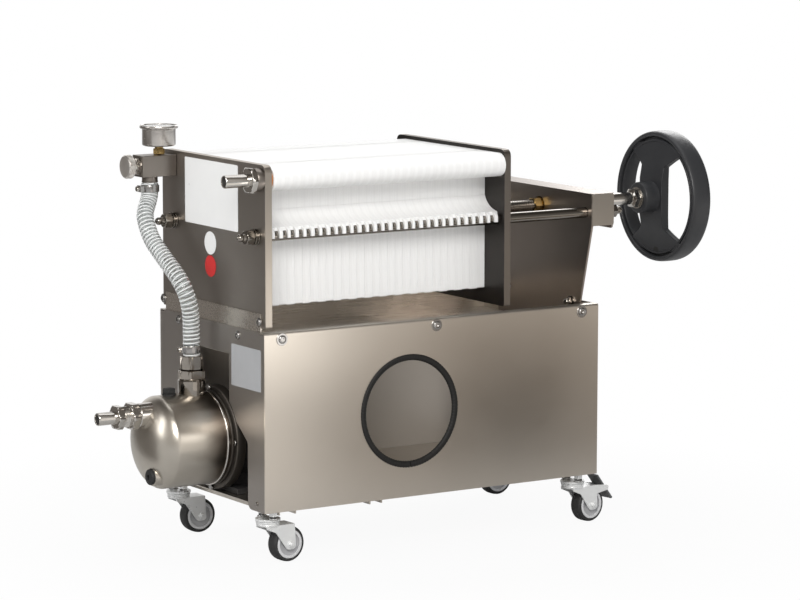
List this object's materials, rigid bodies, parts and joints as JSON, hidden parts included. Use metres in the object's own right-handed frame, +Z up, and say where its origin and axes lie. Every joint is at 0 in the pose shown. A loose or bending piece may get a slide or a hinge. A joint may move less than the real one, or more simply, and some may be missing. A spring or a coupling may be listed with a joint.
{
  "type": "plate filter press",
  "caption": "Castor-mounted plate filter press: steel cabinet with drip basin and pump, a pack of white filter plates, sliding press plate and handwheel spindle.",
  "frame": {"origin": "on the floor, at the bottom centre of the bounding box", "axes": "+X from the pump end to the handwheel along the spindle, +Y from the front panel with the round hole to the back panel, +Z up"},
  "size_m": [0.906, 0.2754, 0.5486],
  "materials": {
    "brushed_panel": "satin",
    "dark_plate": "satin",
    "polished": "polished",
    "zinc": "satin",
    "brass": "satin",
    "cast_black": "matte",
    "black_plastic": "matte",
    "edging": "matte",
    "tyre": "matte",
    "hub": "matte",
    "filter_plate": "satin",
    "amber": "matte",
    "clear_hose": "gloss"
  },
  "bodies": {
    "frame": {"front_panel": "brushed_panel", "back_panel": "brushed_panel", "end_panel_left": "brushed_panel", "end_panel_right": "brushed_panel", "floor_pan": "dark_plate", "cross_rail_1": "dark_plate", "cross_rail_2": "dark_plate", "drip_basin": "brushed_panel", "hole_trim": "edging", "head_plate": "dark_plate", "guide_rod_front": "polished", "guide_rod_rear": "polished", "rear_shoulder": "dark_plate", "spindle_nut": "brass", "filter_plates_1": "filter_plate", "filter_plates_2": "filter_plate", "filter_plates_3": "filter_plate", "port_gasket_front": "amber", "port_gasket_rear": "amber", "pump_body": "polished", "pump_lantern": "cast_black", "pump_motor": "cast_black", "priming_plug": "black_plastic", "drain_plug": "black_plastic", "suction_union": "polished", "outlet_union": "polished", "discharge_union": "polished", "valve_block": "dark_plate", "gauge_stem": "brass", "pressure_gauge": "polished", "hose": "clear_hose", "hose_clamp_lower": "zinc", "hose_clamp_upper": "zinc", "castor_mount_front_left": "zinc", "castor_mount_rear_left": "zinc", "castor_mount_front_right": "zinc", "castor_mount_rear_right": "zinc"},
    "press_plate": {"press_plate": "dark_plate", "thrust_cup": "polished"},
    "spindle": {"spindle": "polished", "handwheel": "black_plastic"},
    "valve_knob": {"valve_knob": "polished"},
    "fork_front_left": {"castor_fork_front_left": "zinc"},
    "wheel_front_left": {"castor_tyre_front_left": "tyre", "castor_hub_front_left": "hub"},
    "fork_rear_left": {"castor_fork_rear_left": "zinc"},
    "wheel_rear_left": {"castor_tyre_rear_left": "tyre", "castor_hub_rear_left": "hub"},
    "fork_front_right": {"castor_fork_front_right": "zinc"},
    "wheel_front_right": {"castor_tyre_front_right": "tyre", "castor_hub_front_right": "hub"},
    "pedal_front_right": {"brake_pedal_front_right": "black_plastic"},
    "fork_rear_right": {"castor_fork_rear_right": "zinc"},
    "wheel_rear_right": {"castor_tyre_rear_right": "tyre", "castor_hub_rear_right": "hub"},
    "pedal_rear_right": {"brake_pedal_rear_right": "black_plastic"}
  },
  "joints": [
    {"name": "press_slide", "type": "slide", "parent": "frame", "child": "press_plate", "axis": [1, 0, 0], "range_m": [0, 0.1]},
    {"name": "handwheel_turn", "type": "hinge", "parent": "press_plate", "child": "spindle", "pos_m": [0.2645, -0.0055, 0.4228], "axis": [1, 0, 0], "range_deg": [0, 9000]},
    {"name": "valve_turn", "type": "hinge", "parent": "frame", "child": "valve_knob", "pos_m": [-0.3455, 0.109, 0.496], "axis": [1, 0, 0], "range_deg": [0, 720]},
    {"name": "swivel_front_left", "type": "hinge", "parent": "frame", "child": "fork_front_left", "pos_m": [-0.2675, -0.113, 0.0562], "axis": [0, 0, 1], "continuous": true},
    {"name": "roll_front_left", "type": "hinge", "parent": "fork_front_left", "child": "wheel_front_left", "pos_m": [-0.23957, -0.11105, 0.0234], "axis": [-0.0698, 0.9976, 0], "continuous": true},
    {"name": "swivel_rear_left", "type": "hinge", "parent": "frame", "child": "fork_rear_left", "pos_m": [-0.2745, 0.11, 0.0562], "axis": [0, 0, 1], "continuous": true},
    {"name": "roll_rear_left", "type": "hinge", "parent": "fork_rear_left", "child": "wheel_rear_left", "pos_m": [-0.2465, 0.10951, 0.0234], "axis": [0.0175, 0.9998, 0], "continuous": true},
    {"name": "swivel_front_right", "type": "hinge", "parent": "frame", "child": "fork_front_right", "pos_m": [0.21, -0.113, 0.0562], "axis": [0, 0, 1], "continuous": true},
    {"name": "roll_front_right", "type": "hinge", "parent": "fork_front_right", "child": "wheel_front_right", "pos_m": [0.23766, -0.10862, 0.0234], "axis": [-0.1564, 0.9877, 0], "continuous": true},
    {"name": "brake_front_right", "type": "hinge", "parent": "fork_front_right", "child": "pedal_front_right", "pos_m": [0.26136, -0.10486, 0.0445], "axis": [-0.1564, 0.9877, 0], "range_deg": [0, 12]},
    {"name": "swivel_rear_right", "type": "hinge", "parent": "frame", "child": "fork_rear_right", "pos_m": [0.2095, 0.113, 0.0562], "axis": [0, 0, 1], "continuous": true},
    {"name": "roll_rear_right", "type": "hinge", "parent": "fork_rear_right", "child": "wheel_rear_right", "pos_m": [0.23748, 0.11398, 0.0234], "axis": [-0.0349, 0.9994, 0], "continuous": true},
    {"name": "brake_rear_right", "type": "hinge", "parent": "fork_rear_right", "child": "pedal_rear_right", "pos_m": [0.26147, 0.11482, 0.0445], "axis": [-0.0349, 0.9994, 0], "range_deg": [0, 12]}
  ],
  "couplings": [
    {"joint": "press_slide", "follows": "handwheel_turn", "m_per_rad": 0.00063662}
  ]
}
